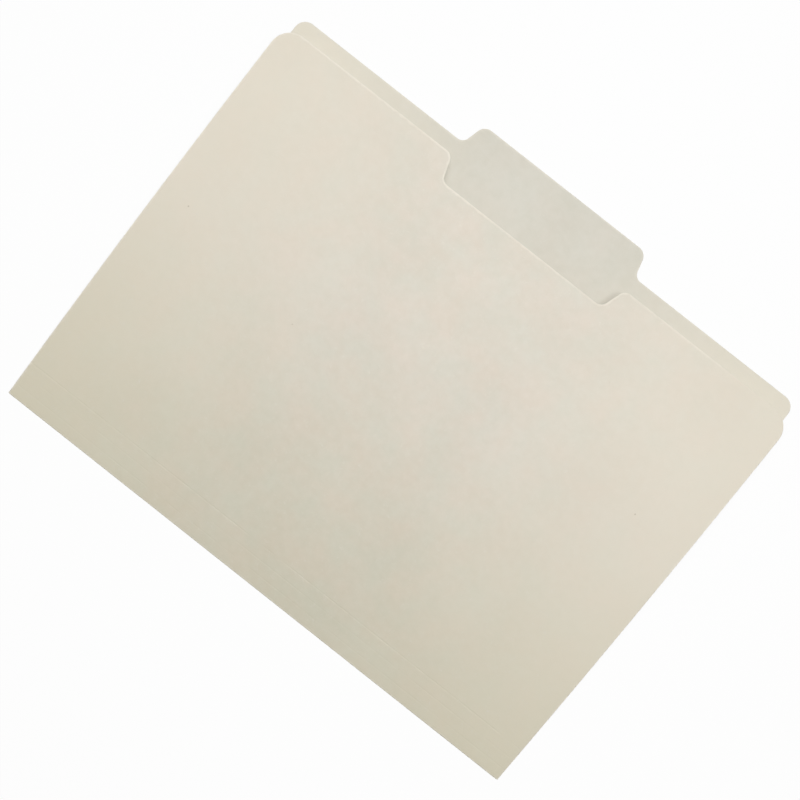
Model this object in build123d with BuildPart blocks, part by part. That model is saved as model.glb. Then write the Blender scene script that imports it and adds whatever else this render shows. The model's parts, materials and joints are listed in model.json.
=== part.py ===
from build123d import *
import os
from math import cos, pi, radians, sin, tan

# A letter-size file folder: one sheet of tan board, die-cut with a tab and a thumb cut,
# folded once and scored three times beside the fold. It lies on its back with the
# front cover sprung a little open. X runs along the fold, Y from the fold to the tab, Z up.
# Lengths are in millimetres, angles in degrees.

# The sheet
sheet_width = 298.45        # 11-3/4 in along the fold
back_height = 228.6         # 9 in from the fold to the back cover's top edge
front_height = 219.1        # 8-5/8 in of sheet from the fold to the front cover's top edge
board_thickness = 0.28      # 11 point board
back_corner_radius = 6.0    # outer corners of the back cover
front_corner_radius = 10.5  # outer corners of the front cover

# The tab, and the thumb cut that shows it
tab_height = 12.7           # 1/2 in above the back cover's top edge
tab_width = 100.9           # at half its height
tab_lean = 15.0             # of its sides
tab_corner_radius = 5.2
tab_root_radius = 4.2
thumb_cut_depth = 12.7      # 1/2 in below the front cover's top edge
thumb_cut_width = 97.7      # at half its depth
thumb_cut_lean = 18.0       # of its sides
thumb_cut_lip_radius = 4.4
thumb_cut_root_radius = 4.2

# The fold and the scores
fold_gap = 0.64             # between the covers' inner faces at the fold
fold_wrap = 40.0            # how far the rolled fold tucks in behind each cover's end
hinge_clearance = 0.05      # between a rounded end and its socket
score_count = 3
score_pitch = 6.35          # 1/4 in
groove_width = 1.0          # a score's pressed groove on the outer face
groove_depth = 0.08

# How the front cover stands at rest
rest_angle = 7.3            # between the covers, at the fold
bow_radius = 1730.0         # of the front cover, bowed outwards

# Sizes that follow from these
half_width = sheet_width / 2
fold_radius = board_thickness + fold_gap / 2
fold_socket_radius = fold_radius + hinge_clearance
score_thickness = board_thickness - groove_depth
nose_radius = score_thickness / 2
score_socket_radius = nose_radius + hinge_clearance
inner_face = fold_gap / 2
outer_face = fold_gap / 2 + board_thickness
groove_floor = inner_face + score_thickness
score_axis_height = inner_face + nose_radius
overall_height = back_height + tab_height
fold_edge = -overall_height / 2

# The fold's axis, with the back cover's profile level and the front cover's tilted up
fold_axis = (0, fold_edge + fold_radius, fold_radius)
back_plane = Plane(origin=fold_axis, x_dir=(0, 1, 0), z_dir=(1, 0, 0))
tilt = radians(rest_angle)
front_plane = Plane(origin=fold_axis, x_dir=(0, cos(tilt), sin(tilt)), z_dir=(1, 0, 0))


def score_place(number):
    """Distance of a score from the fold's axis along the front cover; score 0 is the fold."""
    return number * score_pitch - fold_radius if number else 0.0


def side_offset(height, lean):
    """How far a leaning side of this height stands, at its ends, from its place at half height."""
    return height / 2 * tan(radians(lean))


os.makedirs("parts", exist_ok=True)

# Back cover: a flat plate with the tab on its far edge, its near end hollowed around the fold
tab_top = overall_height / 2
back_top = fold_edge + back_height
tab_top_half = tab_width / 2 - side_offset(tab_height, tab_lean)
tab_root_half = tab_width / 2 + side_offset(tab_height, tab_lean)
with BuildPart() as back_cover:
    with BuildSketch():
        with BuildLine():
            FilletPolyline(
                (-half_width, fold_axis[1]),
                (half_width, fold_axis[1]),
                (half_width, back_top),
                (tab_root_half, back_top),
                (tab_top_half, tab_top),
                (-tab_top_half, tab_top),
                (-tab_root_half, back_top),
                (-half_width, back_top),
                radius=[
                    0,
                    0,
                    back_corner_radius,
                    tab_root_radius,
                    tab_corner_radius,
                    tab_corner_radius,
                    tab_root_radius,
                    back_corner_radius,
                ],
                close=True,
            )
        make_face()
    extrude(amount=board_thickness)
    with BuildSketch(back_plane):
        Circle(fold_socket_radius)
    extrude(amount=half_width, both=True, mode=Mode.SUBTRACT)
back_cover.part.label = "back_cover"
export_step(back_cover.part, "parts/back_cover.step")

# Bottom fold: the board rolled round the fold's axis, from under the back cover to over the front
roll_start = 90 + rest_angle - fold_wrap
roll_sweep = 180 - rest_angle + 2 * fold_wrap
with BuildPart() as bottom_fold:
    with BuildSketch(back_plane):
        with BuildLine():
            outside = CenterArc((0, 0), fold_radius, roll_start, roll_sweep)
            inside = CenterArc((0, 0), inner_face, roll_start, roll_sweep)
            Line(outside @ 0, inside @ 0)
            Line(outside @ 1, inside @ 1)
        make_face()
    extrude(amount=half_width, both=True)
bottom_fold.part.label = "bottom_fold"
export_step(bottom_fold.part, "parts/bottom_fold.step")

# Expansion strips: each has a hollow lower end, a rounded upper end and half a groove at a score
for number in range(1, score_count + 1):
    low = score_place(number - 1)
    high = score_place(number)
    at_fold = number == 1
    low_height = 0.0 if at_fold else score_axis_height
    low_outer = outer_face if at_fold else groove_floor
    low_socket = fold_socket_radius if at_fold else score_socket_radius
    with BuildPart() as expansion_strip:
        with BuildSketch(front_plane):
            with BuildLine():
                Polyline(
                    (low, inner_face),
                    (high, inner_face),
                    (high, groove_floor),
                    (high - groove_width / 2, outer_face),
                    (low + groove_width / 2, outer_face),
                    (low, low_outer),
                    close=True,
                )
            make_face()
            with Locations((high, score_axis_height)):
                Circle(nose_radius)
            with Locations((low, low_height)):
                Circle(low_socket, mode=Mode.SUBTRACT)
        extrude(amount=half_width, both=True)
    name = f"expansion_strip_{number}"
    expansion_strip.part.label = name
    export_step(expansion_strip.part, f"parts/{name}.step")

# Front cover: a bowed plate from the last score to its top edge
last_score = score_place(score_count)
bow_start = last_score + groove_width / 2
bow_length = front_height - fold_radius - bow_start
bow_angle = bow_length / bow_radius
middle_face = (inner_face + outer_face) / 2
inner_radius = bow_radius - board_thickness / 2
outer_radius = bow_radius + board_thickness / 2


def bow_point(radius, share):
    """A point on the bowed part of the profile, at a share of the way to the top edge."""
    angle = share * bow_angle
    return (bow_start + radius * sin(angle), middle_face - bow_radius + radius * cos(angle))


# The outline is drawn on the plane that touches the cover along its top edge
edge_profile_point = bow_point(bow_radius, 1)
edge_point = front_plane.from_local_coords(Vector(*edge_profile_point, 0))
edge_tilt = tilt - bow_angle
edge_plane = Plane(origin=edge_point, x_dir=(1, 0, 0), z_dir=(0, -sin(edge_tilt), cos(edge_tilt)))
cut_floor_half = thumb_cut_width / 2 - side_offset(thumb_cut_depth, thumb_cut_lean)
cut_mouth_half = thumb_cut_width / 2 + side_offset(thumb_cut_depth, thumb_cut_lean)
with BuildPart() as front_cover:
    with BuildSketch(front_plane):
        with BuildLine():
            Line((last_score, inner_face), (bow_start, inner_face))
            ThreePointArc((bow_start, inner_face), bow_point(inner_radius, 0.5), bow_point(inner_radius, 1))
            Line(bow_point(inner_radius, 1), bow_point(outer_radius, 1))
            ThreePointArc(bow_point(outer_radius, 1), bow_point(outer_radius, 0.5), (bow_start, outer_face))
            Line((bow_start, outer_face), (last_score, groove_floor))
            Line((last_score, groove_floor), (last_score, inner_face))
        make_face()
        with Locations((last_score, score_axis_height)):
            Circle(score_socket_radius, mode=Mode.SUBTRACT)
    extrude(amount=half_width, both=True)
    with BuildSketch(edge_plane):
        with BuildLine():
            FilletPolyline(
                (-half_width, -front_height),
                (half_width, -front_height),
                (half_width, 0),
                (cut_mouth_half, 0),
                (cut_floor_half, -thumb_cut_depth),
                (-cut_floor_half, -thumb_cut_depth),
                (-cut_mouth_half, 0),
                (-half_width, 0),
                radius=[
                    0,
                    0,
                    front_corner_radius,
                    thumb_cut_lip_radius,
                    thumb_cut_root_radius,
                    thumb_cut_root_radius,
                    thumb_cut_lip_radius,
                    front_corner_radius,
                ],
                close=True,
            )
        make_face()
    extrude(amount=front_height / 2, both=True, mode=Mode.INTERSECT)
front_cover.part.label = "front_cover"
export_step(front_cover.part, "parts/front_cover.step")

# What the joints and the room between the covers are read from
edge_gap = edge_point.Z - board_thickness * 1.5
reach = edge_point.Y - fold_axis[1]
print("fold axis", [round(value, 4) for value in fold_axis])
for number in range(1, score_count + 1):
    score_axis = front_plane.from_local_coords(Vector(score_place(number), score_axis_height, 0))
    print("score", number, round(score_axis.Y, 4), round(score_axis.Z, 4))
print("top edge of the front cover", round(edge_point.Y, 3), round(edge_point.Z, 3))
print("gap under that edge", round(edge_gap, 3), "reach from the fold", round(reach, 3))
print("slope at that edge", round(edge_tilt * 180 / pi, 3))
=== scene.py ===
# %% [markdown]
# # A manila folder, cut flat and then folded
# The real folder is one sheet of tan board. A die cuts its outline, with a tab at one end and
# a thumb cut at the other, blunt rules press three scores into it, and a machine folds it once.
# It could be modelled as a few bent boxes. Here the mesh goes the way of the real sheet
# instead: an outline on the flat, a thin board with a worn rim, pressed scores, one fold.
# Every point keeps its place on the flat sheet, so grain and clouding run round the fold.

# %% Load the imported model
import json
from math import acos, asin, atan2, cos, degrees, exp, hypot, pi, radians, sin, sqrt, tan

import bpy
import numpy as np
from mathutils import Matrix, Vector, noise
from mathutils.geometry import delaunay_2d_cdt


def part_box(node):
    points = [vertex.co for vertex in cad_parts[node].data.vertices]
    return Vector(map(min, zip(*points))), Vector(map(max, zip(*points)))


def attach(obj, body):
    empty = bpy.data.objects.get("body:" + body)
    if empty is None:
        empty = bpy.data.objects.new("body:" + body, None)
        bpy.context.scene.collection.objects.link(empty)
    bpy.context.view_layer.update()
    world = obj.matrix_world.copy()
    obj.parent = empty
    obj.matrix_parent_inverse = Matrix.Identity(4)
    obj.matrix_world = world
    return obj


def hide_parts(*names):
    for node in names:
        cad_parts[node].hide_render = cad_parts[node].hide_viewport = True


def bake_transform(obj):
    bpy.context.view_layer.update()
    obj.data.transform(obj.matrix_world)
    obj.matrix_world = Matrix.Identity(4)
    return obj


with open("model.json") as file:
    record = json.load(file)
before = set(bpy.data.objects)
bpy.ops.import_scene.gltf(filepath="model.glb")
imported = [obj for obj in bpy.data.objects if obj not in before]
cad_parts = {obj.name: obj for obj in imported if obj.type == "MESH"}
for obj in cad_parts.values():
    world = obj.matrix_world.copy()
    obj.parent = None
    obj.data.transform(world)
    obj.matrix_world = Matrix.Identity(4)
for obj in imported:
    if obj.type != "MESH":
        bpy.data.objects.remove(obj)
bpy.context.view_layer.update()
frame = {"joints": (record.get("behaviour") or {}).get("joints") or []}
MM = 0.001

# %% [markdown]
# ## Sizes from the frame
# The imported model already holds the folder's main sizes, so they are read from it: the board's
# thickness and width from the back cover's box, the fold's axis and the third score from the
# two hinges. The front's tilt follows from those, because the third score lies a known way along
# it. Only what a box or a hinge can't tell, such as a corner's radius, is written here.

# %% Read the sizes off the frame
hinges = {joint["name"]: Vector(joint["pos_m"]) for joint in frame["joints"]}
fold_axis = hinges["cover_open"]
score_axis = hinges["score_3_bend"]
back_low, back_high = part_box("back_cover")
half_width = back_high[0]
board = back_high[2] - back_low[2]
fold_radius = fold_axis.z
middle_radius = fold_radius - board / 2
score_pitch = 6.35 * MM
score_count = 3


def score_reach(number):
    """Distance of a score from the fold's axis, along the front cover."""
    return number * score_pitch - fold_radius


hinge_reach = hypot(score_axis.y - fold_axis.y, score_axis.z - fold_axis.z)
hinge_lift = sqrt(hinge_reach**2 - score_reach(score_count) ** 2)
tilt = atan2(score_axis.z - fold_axis.z, score_axis.y - fold_axis.y) - asin(hinge_lift / hinge_reach)
print(f"board {board / MM:.3f} mm, fold radius {fold_radius / MM:.3f} mm, tilt {degrees(tilt):.2f} degrees")

# %% [markdown]
# ## The folded profile
# Seen from the side, the sheet runs flat along the back, round the fold and up along the front,
# which bows a little. One function gives the place and the outward direction of the board's
# middle at any distance along the sheet, measured from the middle of the fold.
# The flat sheet is then folded by sending every point through it.

# %% Describe the profile
front_height = 219.1 * MM
bow_radius = 1730 * MM
straight_past_score = 0.5 * MM
bow_start = score_reach(score_count) + straight_past_score
half_roll = middle_radius * (pi - tilt) / 2


def profile(along):
    """Place (y, z) and outward direction (y, z) of the board's middle, this far along the sheet."""
    if along <= -half_roll:
        return (fold_axis.y - along - half_roll, board / 2), (0.0, -1.0)
    if along < half_roll:
        turn = 1.5 * pi - (along + half_roll) / middle_radius
        out = (cos(turn), sin(turn))
        return (fold_axis.y + middle_radius * out[0], fold_axis.z + middle_radius * out[1]), out
    reach = along - half_roll
    straight = min(reach, bow_start)
    out = (-sin(tilt), cos(tilt))
    y = fold_axis.y + straight * cos(tilt) + middle_radius * out[0]
    z = fold_axis.z + straight * sin(tilt) + middle_radius * out[1]
    if reach <= bow_start:
        return (y, z), out
    lean = tilt - (reach - bow_start) / bow_radius
    bowed = (-sin(lean), cos(lean))
    y += bow_radius * (bowed[0] - out[0])
    z += bow_radius * (bowed[1] - out[1])
    return (y, z), bowed


front_end = half_roll + front_height - fold_radius
(edge_y, edge_z), _ = profile(front_end)

# %% [markdown]
# ## The die-cut outline
# A steel-rule die cuts the outline in one stroke, and every corner of it is an arc.
# So the outline is a list of corners with radii, on the flat sheet. The first number runs across
# the sheet. The second runs along it from the middle of the fold: up the front, and minus up the back.

# %% List the outline's corners
front_corner_radius, back_corner_radius = 10.5 * MM, 6.0 * MM
tab_height, tab_width = 12.7 * MM, 100.9 * MM
tab_corner_radius, tab_root_radius = 5.2 * MM, 4.2 * MM
cut_depth, cut_width = 12.7 * MM, 97.7 * MM
cut_lip_radius, cut_root_radius = 4.4 * MM, 4.2 * MM
tab_side_angle, cut_side_angle = radians(15), radians(18)
tab_lean = tab_height / 2 * tan(tab_side_angle)
cut_lean = cut_depth / 2 * tan(cut_side_angle)

tab_end = -(half_roll + back_high[1] - fold_axis.y)
back_end = tab_end + tab_height
cut_end = front_end - cut_depth
corners = [
    (half_width, front_end, front_corner_radius),
    (cut_width / 2 + cut_lean, front_end, cut_lip_radius),
    (cut_width / 2 - cut_lean, cut_end, cut_root_radius),
    (-cut_width / 2 + cut_lean, cut_end, cut_root_radius),
    (-cut_width / 2 - cut_lean, front_end, cut_lip_radius),
    (-half_width, front_end, front_corner_radius),
    (-half_width, back_end, back_corner_radius),
    (-tab_width / 2 - tab_lean, back_end, tab_root_radius),
    (-tab_width / 2 + tab_lean, tab_end, tab_corner_radius),
    (tab_width / 2 - tab_lean, tab_end, tab_corner_radius),
    (tab_width / 2 + tab_lean, back_end, tab_root_radius),
    (half_width, back_end, back_corner_radius),
]
print(f"{len(corners)} corners on a sheet {(front_end - tab_end) / MM:.2f} mm long")

# %% [markdown]
# ## Rows across the sheet
# A flat stretch of board needs few rows of points, the fold and the scores need many.
# The rows are listed once, and the outline's sides take their points from the same list,
# so that the rim and the faces meet point to point. Two rows are seams: the sheet is parted
# there into three pieces, because the covers move apart at the fold and at the third score.

# %% Place the rows
cell = 4.0 * MM
fold_step = 0.09 * MM
groove_half = 0.55 * MM
groove_shares = (-1.6, -1, -0.75, -0.5, -0.25, 0, 0.25, 0.5, 0.75, 1, 1.6)
seam_before_score = 2.0 * MM
score_lines = [half_roll + score_reach(number) for number in range(1, score_count + 1)]
back_seam = -half_roll
front_seam = score_lines[-1] - seam_before_score


def spaced(start, end, step):
    """Even steps from start to end, each about as long as step."""
    count = max(1, round(abs(end - start) / step))
    return [start + (end - start) * index / count for index in range(count + 1)]


rows = spaced(tab_end, back_seam - cell, cell) + spaced(-half_roll, half_roll, fold_step) + [front_seam]
for line in score_lines:
    rows += [line + groove_half * share for share in groove_shares]
    rows.append(line - score_pitch / 2)
rows += spaced(score_lines[-1] + cell, front_end, cell)
rows.sort()
print(len(rows), "rows, from", round(rows[0] / MM, 2), "to", round(rows[-1] / MM, 2), "mm along the sheet")

# %% [markdown]
# ## Round the outline
# Each corner becomes an arc of short steps. A side that runs along the sheet takes its points from
# the rows, and any other side has even steps. Each point also keeps the direction that points into
# the sheet, which later gives the rim and the crushed edge an even width.

# %% Walk round the outline
arc_step, fewest_arc_steps = radians(7), 6
side_end_share = 0.0005


def rounded_corner(before, corner, after):
    """Points along one rounded corner, each with its direction into the sheet."""
    here = Vector(corner[:2])
    radius = corner[2]
    to_before = (Vector(before[:2]) - here).normalized()
    to_after = (Vector(after[:2]) - here).normalized()
    half_angle = acos(to_before.dot(to_after)) / 2
    middle = here + (to_before + to_after).normalized() * (radius / sin(half_angle))
    start = here + to_before * (radius / tan(half_angle)) - middle
    sweep = pi - 2 * half_angle
    turn = 1 if to_before.x * to_after.y - to_before.y * to_after.x < 0 else -1
    steps = max(fewest_arc_steps, round(sweep / arc_step))
    points = []
    for step in range(steps + 1):
        angle = turn * sweep * step / steps
        cosine, sine = cos(angle), sin(angle)
        arm = Vector((start.x * cosine - start.y * sine, start.x * sine + start.y * cosine))
        points.append((middle + arm, -turn * arm / radius))
    return points


outline = []
for index, corner in enumerate(corners):
    following = corners[(index + 1) % len(corners)]
    arc = rounded_corner(corners[index - 1], corner, following)
    next_arc = rounded_corner(corner, following, corners[(index + 2) % len(corners)])
    (first, _), (last, _) = arc[-1], next_arc[0]
    run = last - first
    into_sheet = Vector((-run.y, run.x)).normalized()
    if abs(run.x) < 1e-9:
        shares = sorted((row - first.y) / run.y for row in rows)
        shares = [share for share in shares if side_end_share < share < 1 - side_end_share]
    else:
        shares = spaced(0, 1, cell / run.length)[1:-1]
    outline += arc + [(first + run * share, into_sheet) for share in shares]
print(len(outline), "points round the outline")

# %% [markdown]
# ## From outline to mesh on the flat
# Rings of points follow the outline a little way in, close together at the edge, because that is
# where the board is crushed and rounded. The rest is a plain lattice of rows and columns.
# A constrained Delaunay triangulation joins the last ring and the lattice.

# %% Lay rings and lattice
ring_depths = [depth * MM for depth in (0.05, 0.16, 0.32, 0.55, 0.9, 1.6)]
column_step = 3.0 * MM
ring_clearance = 1.0 * MM
rings = [[point + into_sheet * depth for point, into_sheet in outline] for depth in ring_depths]
last_ring = np.array(rings[-1])
columns = spaced(-half_width + cell, half_width - cell, column_step)
lattice = np.array([(x, row) for row in rows for x in columns])


def inside(points, loop):
    """Whether each point lies inside a closed loop, by counting crossings."""
    after = np.roll(loop, -1, axis=0)
    spans = (loop[:, 1] > points[:, 1:2]) != (after[:, 1] > points[:, 1:2])
    height = after[:, 1] - loop[:, 1]
    share = (points[:, 1:2] - loop[:, 1]) / np.where(height == 0, 1, height)
    crossing = loop[:, 0] + share * (after[:, 0] - loop[:, 0])
    return (spans & (points[:, 0:1] < crossing)).sum(axis=1) % 2 == 1


def clear_of(points, loop, gap):
    """Whether each point keeps at least this gap from every point of a loop."""
    return np.array([np.hypot(*(loop - point).T).min() > gap for point in points])


lattice = lattice[inside(lattice, last_ring)]
lattice = lattice[clear_of(lattice, last_ring, ring_clearance)]
print(len(rings), "rings of", len(outline), "points and", len(lattice), "lattice points")

# %% Join the last ring and the lattice
INSIDE_ONLY = 1
merge_distance = 1e-9
seam_tolerance = 1e-7
far_from_edge = 10 * MM
ring_size = len(outline)
flat = [Vector(point) for point in last_ring] + [Vector(point) for point in lattice]
edges = [(index, (index + 1) % ring_size) for index in range(ring_size)]
for seam in (back_seam, front_seam):
    on_seam = [index for index, point in enumerate(flat) if abs(point.y - seam) < seam_tolerance]
    on_seam.sort(key=lambda index: flat[index].x)
    edges += list(zip(on_seam, on_seam[1:]))
whole_ring = [list(range(ring_size))]
_, _, joined, sources, _, _ = delaunay_2d_cdt(flat, edges, whole_ring, INSIDE_ONLY, merge_distance)
ring_start = ring_size * (len(rings) - 1)
face_cells = [tuple(ring_start + sources[corner][0] for corner in triangle) for triangle in joined]

sheet_points = [point for ring in rings for point in ring] + flat[ring_size:]
edge_distance = [depth for depth in ring_depths for _ in outline] + [far_from_edge] * len(lattice)
for ring in range(len(rings) - 1):
    near, far = ring * ring_size, (ring + 1) * ring_size
    for index in range(ring_size):
        after = (index + 1) % ring_size
        face_cells.append((near + index, near + after, far + after, far + index))
print(len(sheet_points), "points and", len(face_cells), "cells on each face")

# %% [markdown]
# ## Relief: crushed edges, scores and a gentle wave
# The cutting rule drags the outer face down as it goes in, so the edge ends in a soft shoulder.
# A score is a shallow furrow on the outer face and a low bead on the inner one. The presser
# doesn't strike evenly, so the furrow fades in places, and the score farthest from the fold is
# the deepest. Paper is never quite flat either: the front has a wave well under a millimetre.

# %% Describe the relief
shoulder_depth, shoulder_width = 0.10 * MM, 0.55 * MM
score_depths = [0.026 * MM, 0.024 * MM, 0.064 * MM]
slow_length, quick_length = 24 * MM, 7 * MM
usual_strike, slow_share, quick_share = 0.6, 0.7, 0.8
weakest_strike, strongest_strike = 0.06, 1.25
noise_lane = 7.3
wave_height, wave_length, wave_onset = 0.25 * MM, 90 * MM, 60 * MM
wave_lane = 3.1


def furrow(x, along):
    """Depth of the pressed scores at a point of the sheet; each score has its own lane of the noise."""
    depth = 0.0
    for number, line in enumerate(score_lines):
        offset = abs(along - line) / groove_half
        if offset < 1:
            slow = noise.noise(Vector((x / slow_length, noise_lane * number, 0)))
            quick = noise.noise(Vector((x / quick_length, noise_lane * number, 5)))
            strike = usual_strike + slow_share * slow + quick_share * quick
            strike = max(weakest_strike, min(strongest_strike, strike))
            depth += score_depths[number] * strike * (1 + cos(pi * offset)) / 2
    return depth


def wave(x, along):
    """Height of the front cover's gentle wave, nothing at the fold and the back."""
    rise = min(1.0, max(0.0, (along - score_lines[-1]) / wave_onset))
    if rise == 0:
        return 0.0
    return rise * wave_height * noise.noise(Vector((x / wave_length, along / wave_length, wave_lane)))


def shoulder(distance):
    """How far the outer face is dragged down at this distance from the cut edge."""
    return shoulder_depth * exp(-((distance / shoulder_width) ** 2))


deepest = [round(depth * strongest_strike / MM, 3) for depth in score_depths]
print("the scores are pressed at most", deepest, "mm deep")

# %% [markdown]
# ## Folding the sheet
# A bend modifier would stretch such a tight fold. Here every point of the flat sheet goes through
# the profile twice instead, once for each face, with the relief added to its height. The rim has two
# rows of points of its own, a little inside the faces, so that a cut edge has soft corners.

# %% Fold every point
bead_share = 0.6
edge_round = 0.05 * MM


def face_heights(point, distance):
    """Heights of the outer and the inner face over the board's middle."""
    pressed = furrow(point.x, point.y)
    lift = wave(point.x, point.y)
    return board / 2 + lift - pressed - shoulder(distance), -board / 2 + lift - bead_share * pressed


def folded(x, along, height):
    """A point of the flat sheet, this far out from the board's middle, folded into place."""
    (y, z), out = profile(along)
    return Vector((x, y + out[0] * height, z + out[1] * height))


outer_points, inner_points, rim_upper, rim_lower = [], [], [], []
for point, distance in zip(sheet_points, edge_distance):
    outer, inner = face_heights(point, distance)
    outer_points.append(folded(point.x, point.y, outer))
    inner_points.append(folded(point.x, point.y, inner))
for point, _ in outline:
    outer, inner = face_heights(point, ring_depths[0])
    rim_upper.append(folded(point.x, point.y, outer - edge_round))
    rim_lower.append(folded(point.x, point.y, inner + edge_round))
print("lowest point", round(min(point.z for point in outer_points) / MM, 4), "mm")

# %% [markdown]
# ## Three pieces of one sheet
# The back cover stays put, the bottom strips turn at the fold and the front cover bends at the
# third score. So the folded sheet is parted at its two seams, where it is flat. A cap closes
# each parted end, so every piece is a closed solid, and the caps of two neighbours touch.

# %% Collect the faces
OUTER, INNER, EDGE = 0, 1, 2
point_count = len(sheet_points)
upper_start = 2 * point_count
lower_start = upper_start + ring_size
all_points = outer_points + inner_points + rim_upper + rim_lower
flat_places = sheet_points * 2 + [point for point, _ in outline] * 2
distances = edge_distance * 2 + [0.0] * (2 * ring_size)
faces = [(cell_corners, OUTER) for cell_corners in face_cells]
for cell_corners in face_cells:
    faces.append((tuple(point_count + corner for corner in reversed(cell_corners)), INNER))
bands = (point_count, lower_start, upper_start, 0)
for index in range(ring_size):
    after = (index + 1) % ring_size
    for lower, upper in zip(bands, bands[1:]):
        faces.append(((lower + index, lower + after, upper + after, upper + index), EDGE))
print(len(faces), "faces on the whole sheet")


# %% Part the sheet and cap the ends
def between(start, end):
    """Faces whose middle lies between two places along the sheet."""
    kept = []
    for corners_of_face, kind in faces:
        middle = sum(flat_places[corner].y for corner in corners_of_face) / len(corners_of_face)
        if start < middle < end:
            kept.append((corners_of_face, kind))
    return kept


def capped(kept):
    """The same faces with the parted ends closed, and the number of caps."""
    sides = {}
    for corners_of_face, _ in kept:
        for one, other in zip(corners_of_face, corners_of_face[1:] + corners_of_face[:1]):
            sides[(one, other)] = True
    next_of = {one: other for one, other in sides if (other, one) not in sides}
    before = {other: one for one, other in next_of.items()}
    caps = []
    for one, other in next_of.items():
        if one < point_count and other < point_count:
            caps.append((other, one, one + point_count, other + point_count))
        elif one < point_count and other >= upper_start:
            third = next_of[other]
            caps.append((next_of[third], third, other, one))
        elif other < point_count and one >= upper_start:
            third = before[one]
            caps.append((other, one, third, before[third]))
    return kept + [(cap, EDGE) for cap in caps], len(caps)


# %% Make the three meshes
def sheet_piece(name, start, end):
    """One piece of the folded sheet, with its flat places as texture coordinates."""
    kept, cap_count = capped(between(start, end))
    used = sorted({corner for corners_of_face, _ in kept for corner in corners_of_face})
    place_of = {corner: index for index, corner in enumerate(used)}
    polygons = [[place_of[corner] for corner in corners_of_face] for corners_of_face, _ in kept]
    mesh = bpy.data.meshes.new(name)
    mesh.from_pydata([all_points[corner] for corner in used], [], polygons)
    mesh.polygons.foreach_set("material_index", [kind for _, kind in kept])
    flat_map = mesh.uv_layers.new(name="flat_sheet")
    loop_places = [flat_places[used[loop.vertex_index]] for loop in mesh.loops]
    flat_map.data.foreach_set("uv", [value for place in loop_places for value in place])
    marks = {
        "edge_distance": [distances[corner] for corner in used],
        "score_press": [furrow(*flat_places[corner]) / max(score_depths) for corner in used],
    }
    for mark_name, values in marks.items():
        mesh.attributes.new(mark_name, "FLOAT", "POINT").data.foreach_set("value", values)
    mesh.shade_smooth()
    first_cap = len(kept) - cap_count
    cap_sides = {tuple(sorted(key)) for polygon in mesh.polygons[first_cap:] for key in polygon.edge_keys}
    for edge in mesh.edges:
        edge.use_edge_sharp = tuple(sorted(edge.vertices)) in cap_sides
    mesh.validate()
    piece = bpy.data.objects.new(name, mesh)
    bpy.context.scene.collection.objects.link(piece)
    print(name, len(mesh.vertices), "points", len(mesh.polygons), "faces", cap_count, "in caps")
    return piece


back_sheet = sheet_piece("back_sheet", tab_end - cell, back_seam)
bottom_sheet = sheet_piece("bottom_sheet", back_seam, front_seam)
front_sheet = sheet_piece("front_sheet", front_seam, front_end + cell)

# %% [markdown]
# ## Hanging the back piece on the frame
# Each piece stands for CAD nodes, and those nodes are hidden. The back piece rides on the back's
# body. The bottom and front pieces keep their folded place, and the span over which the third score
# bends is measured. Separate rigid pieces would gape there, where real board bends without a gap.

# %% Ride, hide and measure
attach(back_sheet, "back")
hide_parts("back_cover")
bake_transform(bottom_sheet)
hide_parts("bottom_fold", "expansion_strip_1", "expansion_strip_2", "expansion_strip_3")
score_before = folded(0, score_lines[-1] - groove_half, 0)
score_after = folded(0, score_lines[-1] + groove_half, 0)
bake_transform(front_sheet)
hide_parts("front_cover")
print("score bends over", round((score_after - score_before).length / MM, 2), "mm")

# %% [markdown]
# ## What board looks like close up
# Manila board is unbleached pulp. Held to the light it is cloudy, because the fibres settle in
# flocs a few millimetres wide, and single fibres and a rare speck of bark show on the surface.
# Both faces share that, so it is one node group that reads the flat sheet's coordinates.
# A few helpers come first, because a node tree written out by hand takes many lines.

# %% Define the node helpers
FLOAT, VECTOR = "NodeSocketFloat", "NodeSocketVector"


def add_node(tree, kind, settings=None, **values):
    """Adds a node, sets its options and the values of its named inputs."""
    node = tree.nodes.new(kind)
    for option, value in (settings or {}).items():
        setattr(node, option, value)
    for socket, value in values.items():
        node.inputs[socket.replace("_", " ")].default_value = value
    return node


def math_node(tree, operation, *operands):
    """A maths node fed by sockets or plain numbers; a difference is kept between 0 and 1."""
    node = add_node(tree, "ShaderNodeMath", {"operation": operation, "use_clamp": operation == "SUBTRACT"})
    for socket, value in zip(node.inputs, operands):
        if isinstance(value, (int, float)):
            socket.default_value = value
        else:
            tree.links.new(value, socket)
    return node.outputs[0]


def new_group(name, inputs, outputs):
    """An empty shader group with named sockets; gives the group and its two end nodes."""
    group = bpy.data.node_groups.new(name, "ShaderNodeTree")
    for socket, kind in inputs:
        group.interface.new_socket(socket, in_out="INPUT", socket_type=kind)
    for socket, kind in outputs:
        group.interface.new_socket(socket, in_out="OUTPUT", socket_type=kind)
    return group, group.nodes.new("NodeGroupInput"), group.nodes.new("NodeGroupOutput")


def at_place(group, given, kind, settings=None, **values):
    """A node that reads the group's Place; gives its outputs."""
    node = add_node(group, kind, settings, **values)
    group.links.new(given.outputs["Place"], node.inputs["Vector"])
    return node.outputs


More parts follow.
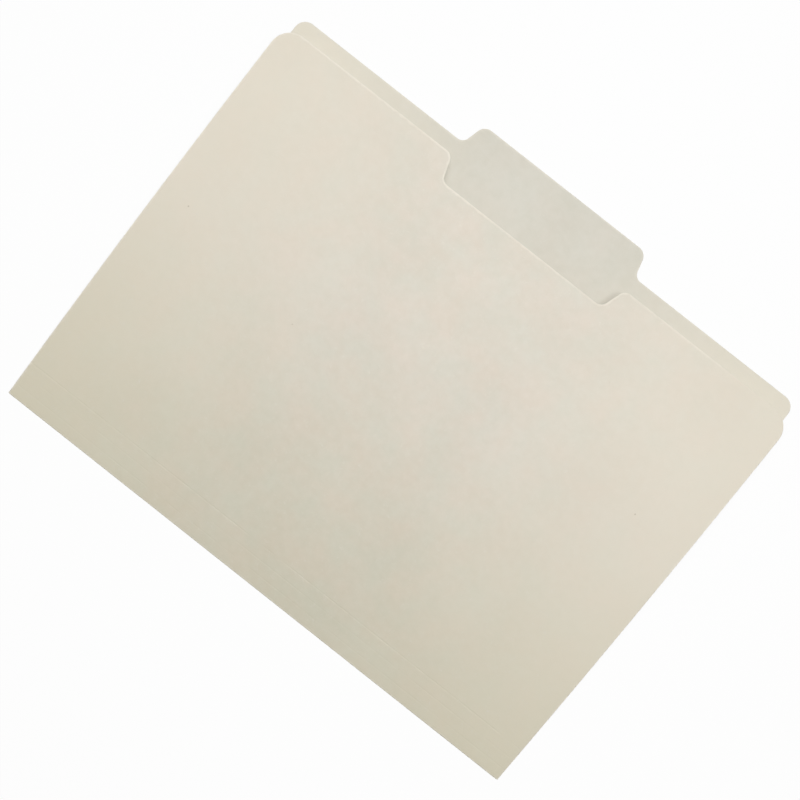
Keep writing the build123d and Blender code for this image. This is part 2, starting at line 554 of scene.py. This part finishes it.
# %% Build the formation group
floc_share = 0.5
fibre_half_width, fibre_patch_floor = 0.010, 0.55
speck_radius, speck_choice = 0.028, 0.52
formation, given, result = new_group(
    "board_formation", [("Place", VECTOR)],
    [("Clouds", FLOAT), ("Fibres", FLOAT), ("Specks", FLOAT), ("Warmth", FLOAT)])
broad = at_place(formation, given, "ShaderNodeTexNoise", Scale=26.0, Detail=2.0, Roughness=0.5)
flocs = at_place(formation, given, "ShaderNodeTexNoise", Scale=230.0, Detail=3.0, Roughness=0.6)
strands = at_place(formation, given, "ShaderNodeTexNoise", Scale=520.0, Detail=1.0, Distortion=1.2)
patches = at_place(formation, given, "ShaderNodeTexNoise", Scale=300.0, Detail=1.0)
bark = at_place(formation, given, "ShaderNodeTexVoronoi", Scale=70.0)
hues = at_place(formation, given, "ShaderNodeTexNoise", {"noise_dimensions": "4D"},
                Scale=55.0, Detail=3.0, W=3.0)
floc_part = math_node(formation, "MULTIPLY", flocs["Fac"], floc_share)
clouds = math_node(formation, "MULTIPLY_ADD", broad["Fac"], 1 - floc_share, floc_part)
ridge = math_node(formation, "ABSOLUTE", math_node(formation, "ADD", strands["Fac"], -0.5))
thread = math_node(formation, "LESS_THAN", ridge, fibre_half_width)
in_patch = math_node(formation, "GREATER_THAN", patches["Fac"], fibre_patch_floor)
dot = math_node(formation, "LESS_THAN", bark["Distance"], speck_radius)
chosen = math_node(formation, "GREATER_THAN", bark["Color"], speck_choice)
formation.links.new(clouds, result.inputs["Clouds"])
formation.links.new(math_node(formation, "MULTIPLY", thread, in_patch), result.inputs["Fibres"])
formation.links.new(math_node(formation, "MULTIPLY", dot, chosen), result.inputs["Specks"])
formation.links.new(hues["Fac"], result.inputs["Warmth"])
print("group", formation.name, "has", len(formation.nodes), "nodes")

# %% [markdown]
# ## Tooth and cut edges
# The surface has a fine tooth from the felt that carried it, too small to model and right for
# a bump. A cut edge is paler than the face, where the fibres are crushed and stand up, and the
# same pale band is partly a painted highlight, painted stronger towards the left. The mesh carries
# each point's distance from the cut, so the edge's group needs only that, the place on the sheet
# and two noises that break it up.

# %% Build the tooth and edge groups
coarse_share = 0.7
wear_and_highlight_reach = 2.2 * MM
left_highlight_slant = -1.3
left_highlight_from, left_highlight_to = 0.22, 0.62


def scaled(tree, socket, low, high, out_low, out_high):
    """Maps one range of values onto another."""
    node = add_node(tree, "ShaderNodeMapRange",
                    From_Min=low, From_Max=high, To_Min=out_low, To_Max=out_high)
    tree.links.new(socket, node.inputs["Value"])
    return node.outputs["Result"]


tooth, given, result = new_group("board_tooth", [("Place", VECTOR)], [("Height", FLOAT)])
fine = at_place(tooth, given, "ShaderNodeTexNoise", Scale=2300.0, Detail=3.0, Roughness=0.65)
coarse = at_place(tooth, given, "ShaderNodeTexNoise", Scale=420.0, Detail=2.0)
relief = math_node(tooth, "MULTIPLY_ADD", coarse["Fac"], coarse_share, fine["Fac"])
tooth.links.new(relief, result.inputs["Height"])

# The pale band along each cut edge is partly crushed fibres and partly a painted highlight, stronger to the
# left.
edge_wear_and_highlight, given, result = new_group("cut_edge_wear_and_highlight", [("Place", VECTOR)], [("Wear And Highlight", FLOAT)])
distance_mark = add_node(edge_wear_and_highlight, "ShaderNodeAttribute", {"attribute_name": "edge_distance"})
ragged = at_place(edge_wear_and_highlight, given, "ShaderNodeTexNoise", Scale=380.0, Detail=2.0)
stretches = at_place(edge_wear_and_highlight, given, "ShaderNodeTexNoise", Scale=24.0, Detail=2.0)
axes = at_place(edge_wear_and_highlight, given, "ShaderNodeSeparateXYZ")
pale_band_width = math_node(edge_wear_and_highlight, "MULTIPLY", ragged["Fac"], wear_and_highlight_reach)
way_in = math_node(edge_wear_and_highlight, "DIVIDE", distance_mark.outputs["Fac"], pale_band_width)
nearness = math_node(edge_wear_and_highlight, "SUBTRACT", 1.0, way_in)
to_the_left = math_node(edge_wear_and_highlight, "MULTIPLY", axes["X"], left_highlight_slant)
left_highlight = math_node(edge_wear_and_highlight, "ADD", stretches["Fac"], to_the_left)
left_highlight_mask = scaled(edge_wear_and_highlight, left_highlight, left_highlight_from, left_highlight_to, 0, 1)
edge_wear_and_highlight.links.new(math_node(edge_wear_and_highlight, "MULTIPLY", nearness, left_highlight_mask), result.inputs["Wear And Highlight"])
print("tooth has", len(tooth.nodes), "nodes, edge wear", len(edge_wear_and_highlight.nodes))

# %% [markdown]
# ## Painted side light and foot shade
# The board's sides are painted lighter than its middle, which is painted light, and its foot near the
# fold is painted darker and yellower, which is painted shade. A group turns the place on the flat
# sheet into two masks, and each face mixes in its own tones. The outer face is darker along its
# whole middle, the inner one only near the tab and the cut.

# %% Build the painted light group
side_light_from, side_light_most = 40 * MM, 0.75
foot_shade_reach = 130 * MM
side_light_and_foot_shade, given, result = new_group(
    "painted_side_light_and_foot_shade", [("Place", VECTOR), ("Inward Fade", FLOAT)], [("Painted Side Light", FLOAT), ("Painted Foot Shade", FLOAT)])
axes = at_place(side_light_and_foot_shade, given, "ShaderNodeSeparateXYZ")
from_fold = math_node(side_light_and_foot_shade, "ABSOLUTE", axes["Y"])
from_top = math_node(side_light_and_foot_shade, "SUBTRACT", front_end, from_fold)
from_top = math_node(side_light_and_foot_shade, "MULTIPLY", from_top, given.outputs["Inward Fade"])
across_squared = math_node(side_light_and_foot_shade, "POWER", axes["X"], 2)
from_top_middle = math_node(side_light_and_foot_shade, "ADD", across_squared, math_node(side_light_and_foot_shade, "POWER", from_top, 2))
from_top_middle = math_node(side_light_and_foot_shade, "SQRT", from_top_middle)
# Painted light: this mask paints the sides of the board lighter than its middle.
side_light_and_foot_shade.links.new(scaled(side_light_and_foot_shade, from_top_middle, side_light_from, half_width, 0, side_light_most), result.inputs["Painted Side Light"])
# Painted shade: this mask is strongest at the fold and paints the foot darker and yellower.
side_light_and_foot_shade.links.new(scaled(side_light_and_foot_shade, from_fold, 0, foot_shade_reach, 1, 0), result.inputs["Painted Foot Shade"])
print("handling has", len(side_light_and_foot_shade.nodes), "nodes")

# %% [markdown]
# ## Creases and painted crease shade
# Board shows where it was bent. Outside, the fold is stretched and scuffed pale. Inside, the fold and
# the scores, which stand up as beads, are painted darker, partly crushed fibres and dirt and partly
# painted shade where the board folds into a valley. A line that is under a millimetre wide is colour
# more than shape, so one more group marks it, with a ragged border, and each face says how much of
# its scores it shows.

# %% Build the crease and shade group
crease_reach = 4 * half_roll
# On the inner face the darker crease line is partly painted shade where the board folds into a valley.
creases_and_shade, given, result = new_group(
    "crease_marks_and_shade", [("Place", VECTOR), ("Score Share", FLOAT)], [("Crease And Shade", FLOAT)])
axes = at_place(creases_and_shade, given, "ShaderNodeSeparateXYZ")
broken = at_place(creases_and_shade, given, "ShaderNodeTexNoise", Scale=160.0, Detail=3.0)
from_fold = math_node(creases_and_shade, "ABSOLUTE", axes["Y"])
creased_width = math_node(creases_and_shade, "MULTIPLY", broken["Fac"], crease_reach)
fold_mark = math_node(creases_and_shade, "SUBTRACT", 1.0, math_node(creases_and_shade, "DIVIDE", from_fold, creased_width))
press_mark = add_node(creases_and_shade, "ShaderNodeAttribute", {"attribute_name": "score_press"})
score_mark = math_node(creases_and_shade, "MULTIPLY", press_mark.outputs["Fac"], given.outputs["Score Share"])
creases_and_shade.links.new(math_node(creases_and_shade, "MAXIMUM", fold_mark, score_mark), result.inputs["Crease And Shade"])
print("groups", [group.name for group in bpy.data.node_groups])

# %% [markdown]
# ## The board's two faces and its edge
# The outer face is calendered and creamy. The inner face is the same pulp and a shade greyer.
# Each material places the groups and mixes its own tones: clouds between two tones, a slow drift
# from greenish to pinkish, sides painted lighter as painted light, a foot near the fold painted darker
# and yellower as painted shade, creases marked paler outside and darker inside, partly painted shade,
# pale fibres, brown specks and a paler cut edge that is partly a painted highlight. One function does
# that for all three, because only their numbers differ.

# %% Define the colour mixing
def mixed(tree, factor, first, second):
    """Mixes two colours, each a socket or a colour, by a socket; gives the colour socket."""
    node = add_node(tree, "ShaderNodeMix", {"data_type": "RGBA"})
    tree.links.new(factor, node.inputs["Factor"])
    for socket, value in ((node.inputs[6], first), (node.inputs[7], second)):
        if isinstance(value, tuple):
            socket.default_value = (*value, 1.0)
        else:
            tree.links.new(value, socket)
    return node.outputs[2]


def tinted(tree, colour, factor, first, second):
    """Multiplies a colour socket by a mix of two tints; gives the colour socket."""
    node = add_node(tree, "ShaderNodeMix", {"data_type": "RGBA", "blend_type": "MULTIPLY"}, Factor=1.0)
    tree.links.new(colour, node.inputs[6])
    tree.links.new(mixed(tree, factor, first, second), node.inputs[7])
    return node.outputs[2]


# %% Describe one face of the board
greenish, pinkish = (0.980, 1.007, 1.006), (1.018, 0.995, 0.988)
# Painted shade: the second tint darkens and yellows the board towards the fold.
unshaded_tint, painted_foot_shade_tint = (1.0, 1.0, 1.0), (0.965, 0.977, 0.914)
bark_brown = (0.33, 0.24, 0.15)
crease_and_shade_share, fibre_share, speck_share, wear_and_highlight_share = 0.6, 0.6, 0.35, 0.85
rough, smooth = 0.72, 0.58
sheen = 0.3
tooth_height = 0.02 * MM


def board_material(name, tones, tooth_strength, hue_drift, inward_fade, score_share):
    """One face of the board, from its own tones and its share of each effect."""
    material = bpy.data.materials.new(name)
    material.use_nodes = True
    tree = material.node_tree
    shader = tree.nodes["Principled BSDF"]
    place = add_node(tree, "ShaderNodeUVMap", {"uv_map": "flat_sheet"}).outputs["UV"]
    groups = {}
    for group in (formation, tooth, edge_wear_and_highlight, side_light_and_foot_shade, creases_and_shade):
        groups[group.name] = add_node(tree, "ShaderNodeGroup", {"node_tree": group})
        tree.links.new(place, groups[group.name].inputs["Place"])
    groups["painted_side_light_and_foot_shade"].inputs["Inward Fade"].default_value = inward_fade
    groups["crease_marks_and_shade"].inputs["Score Share"].default_value = score_share
    body = groups["board_formation"].outputs
    painted_light = groups["painted_side_light_and_foot_shade"].outputs

    colour = mixed(tree, scaled(tree, body["Clouds"], 0.38, 0.62, 0, 1), tones["thin"], tones["thick"])
    warmth = scaled(tree, body["Warmth"], 0.35, 0.65, 0.5 - hue_drift, 0.5 + hue_drift)
    colour = tinted(tree, colour, warmth, greenish, pinkish)
    # Painted light: the sides are painted lighter than the middle.
    colour = mixed(tree, painted_light["Painted Side Light"], colour, tones["side_light"])
    # Painted shade: the foot near the fold is painted darker and yellower.
    colour = tinted(tree, colour, painted_light["Painted Foot Shade"], unshaded_tint, painted_foot_shade_tint)
    marks = [
        # Creases: paler outside; darker inside, which is partly painted shade in the valley.
        (groups["crease_marks_and_shade"].outputs["Crease And Shade"], crease_and_shade_share, tones["crease_and_shade"]),
        (body["Fibres"], fibre_share, tones["fibre"]),
        (body["Specks"], speck_share, bark_brown),
        # Cut edges: partly crushed fibres, partly a painted highlight.
        (groups["cut_edge_wear_and_highlight"].outputs["Wear And Highlight"], wear_and_highlight_share, tones["edge"]),
    ]
    for mask, share, tone in marks:
        colour = mixed(tree, math_node(tree, "MULTIPLY", mask, share), colour, tone)
    tree.links.new(colour, shader.inputs["Base Color"])
    tree.links.new(scaled(tree, body["Clouds"], 0.3, 0.7, rough, smooth), shader.inputs["Roughness"])
    shader.inputs["Specular IOR Level"].default_value = sheen
    bump = add_node(tree, "ShaderNodeBump", Strength=tooth_strength, Distance=tooth_height)
    tree.links.new(groups["board_tooth"].outputs["Height"], bump.inputs["Height"])
    tree.links.new(bump.outputs["Normal"], shader.inputs["Normal"])
    return material


# %% Make the three materials
# The tone mixed in towards the sides of each face is painted light.
outer_tones = {
    "thin": (0.721, 0.659, 0.575), "thick": (0.751, 0.690, 0.612), "side_light": (0.841, 0.767, 0.655),
    "fibre": (0.79, 0.74, 0.66), "edge": (0.92, 0.855, 0.76), "crease_and_shade": (0.86, 0.80, 0.70),
}
# The inner face's dark crease tone is partly painted shade in the folded valley.
inner_tones = {
    "thin": (0.691, 0.650, 0.572), "thick": (0.719, 0.678, 0.605), "side_light": (0.852, 0.786, 0.672),
    "fibre": (0.74, 0.70, 0.63), "edge": (0.82, 0.77, 0.68), "crease_and_shade": (0.52, 0.47, 0.39),
}
rim_tones = {
    "thin": (0.76, 0.70, 0.60), "thick": (0.82, 0.77, 0.68), "side_light": (0.81, 0.76, 0.67),
    "fibre": (0.86, 0.82, 0.74), "edge": (0.84, 0.79, 0.70), "crease_and_shade": (0.72, 0.66, 0.56),
}
board_materials = [
    board_material("manila_outer_face", outer_tones,
                   tooth_strength=0.5, hue_drift=0.5, inward_fade=0.0, score_share=0.0),
    board_material("manila_inner_face", inner_tones,
                   tooth_strength=0.6, hue_drift=0.2, inward_fade=0.6, score_share=0.5),
    board_material("manila_cut_edge", rim_tones,
                   tooth_strength=1.0, hue_drift=0.2, inward_fade=0.0, score_share=0.0),
]
for piece in (back_sheet, bottom_sheet, front_sheet):
    for material in board_materials:
        piece.data.materials.append(material)
print("materials", [material.name for material in back_sheet.data.materials])

# %% [markdown]
# ## Floor
# The photograph shows the folder on plain white. A floor lit to white would throw so much light
# up that the board's shaded side went pale. So the floor is a pale sheet for the light, which
# takes the folder's shadow, and glows white where the camera looks at it straight.

# %% Lay the floor
floor_half, floor_drop = 4.0, 0.05 * MM
floor_grey, floor_roughness = 0.86, 0.9
glow_share = 0.95


def seen_directly(tree):
    """A socket that is 1 where the camera looks, straight or by a mirror or glass, and else 0."""
    rays = tree.nodes.new("ShaderNodeLightPath").outputs
    seen = math_node(tree, "MAXIMUM", rays["Is Camera Ray"], rays["Is Glossy Ray"])
    return math_node(tree, "MAXIMUM", seen, rays["Is Transmission Ray"])


floor_mesh = bpy.data.meshes.new("floor")
floor_sides = [(-1, -1), (1, -1), (1, 1), (-1, 1)]
floor_corners = [(x * floor_half, y * floor_half, -floor_drop) for x, y in floor_sides]
floor_mesh.from_pydata(floor_corners, [], [(0, 1, 2, 3)])
floor = bpy.data.objects.new("floor", floor_mesh)
bpy.context.scene.collection.objects.link(floor)
floor_white = bpy.data.materials.new("floor_white")
floor_white.use_nodes = True
tree = floor_white.node_tree
paper = tree.nodes["Principled BSDF"]
paper.inputs["Base Color"].default_value = (floor_grey, floor_grey, floor_grey, 1)
paper.inputs["Roughness"].default_value = floor_roughness
glow = add_node(tree, "ShaderNodeEmission", Color=(1, 1, 1, 1), Strength=1.0)
blend = tree.nodes.new("ShaderNodeMixShader")
tree.links.new(math_node(tree, "MULTIPLY", seen_directly(tree), glow_share), blend.inputs["Fac"])
tree.links.new(paper.outputs["BSDF"], blend.inputs[1])
tree.links.new(glow.outputs["Emission"], blend.inputs[2])
tree.links.new(blend.outputs["Shader"], tree.nodes["Material Output"].inputs["Surface"])
floor_mesh.materials.append(floor_white)
print("floor", 2 * floor_half, "m wide")

# %% [markdown]
# ## Light
# The front is brightest at the top and fades towards the foot, which tilts away from a lamp far
# beyond the tab. The thumb cut has thin dark bands at its two sides and none along its floor.
# A narrow strip lamp almost straight above the cut does that, where a broad one would soften them
# away. A weak lamp behind the fold lifts the side that turns away, and an even world does the rest.

# %% Set the light
ambient, backdrop = (0.150, 0.146, 0.128), (0.975, 0.975, 0.975)
lamp_tint, fill_tint = (0.922, 0.943, 0.944), (1.0, 0.95, 0.82)
world = bpy.data.worlds.new("studio")
bpy.context.scene.world = world
world.use_nodes = True
tree = world.node_tree
sky = mixed(tree, seen_directly(tree), ambient, backdrop)
tree.links.new(sky, tree.nodes["Background"].inputs["Color"])


def lamp(name, place, size, power, tint):
    """A soft lamp that points at the folder, this wide and this deep."""
    light = bpy.data.lights.new(name, "AREA")
    light.shape = "RECTANGLE"
    light.size, light.size_y = size
    light.energy = power
    light.color = tint
    piece = bpy.data.objects.new(name, light)
    piece.location = place
    piece.rotation_euler = (-Vector(place)).to_track_quat("-Z", "Y").to_euler()
    piece.visible_camera = False
    bpy.context.scene.collection.objects.link(piece)


lamp("key_beyond_the_tab", (-0.22, 0.75, 1.5), (0.25, 0.25), 9.4, lamp_tint)
lamp("strip_above_the_cut", (0.0125, 0.10, 0.56), (0.255, 0.06), 1.76, lamp_tint)
lamp("low_fill_behind_the_fold", (0, -1.6, 0.34), (0.5, 0.5), 2.2, fill_tint)
print("lamps", [item.name for item in bpy.data.lights])

# %% [markdown]
# ## Camera
# The photograph looks straight down on the folder, turned so that its fold runs down to the right.
# Its lens isn't known. A distance of 600 mm is taken, and the focal length, the turn and three small
# tilts were then fitted to the folder's edges in the picture.

# %% Set the camera
picture_turn = radians(38.36)
focal_length, sensor_width = 56.52, 36.0
camera_place = Vector((5.5, 3.95, 600.0)) * MM
roll, swing, nod = radians(-0.07), radians(0.487), radians(-1.034)
aim = Matrix.Rotation(roll, 3, "Z") @ Matrix.Rotation(swing, 3, "Y") @ Matrix.Rotation(nod, 3, "X")
right = aim @ Vector((cos(picture_turn), sin(picture_turn), 0))
up = aim @ Vector((-sin(picture_turn), cos(picture_turn), 0))
back = aim @ Vector((0, 0, 1))
camera_data = bpy.data.cameras.new("camera")
camera_data.lens = focal_length
camera_data.sensor_width = sensor_width
camera_data.clip_start = 10 * MM
camera = bpy.data.objects.new("camera", camera_data)
camera.matrix_world = Matrix.Translation(camera_place) @ Matrix((right, up, back)).transposed().to_4x4()
bpy.context.scene.collection.objects.link(camera)
bpy.context.scene.camera = camera
bpy.context.scene.view_settings.view_transform = "Standard"
print("camera", [round(value, 4) for value in camera.location])
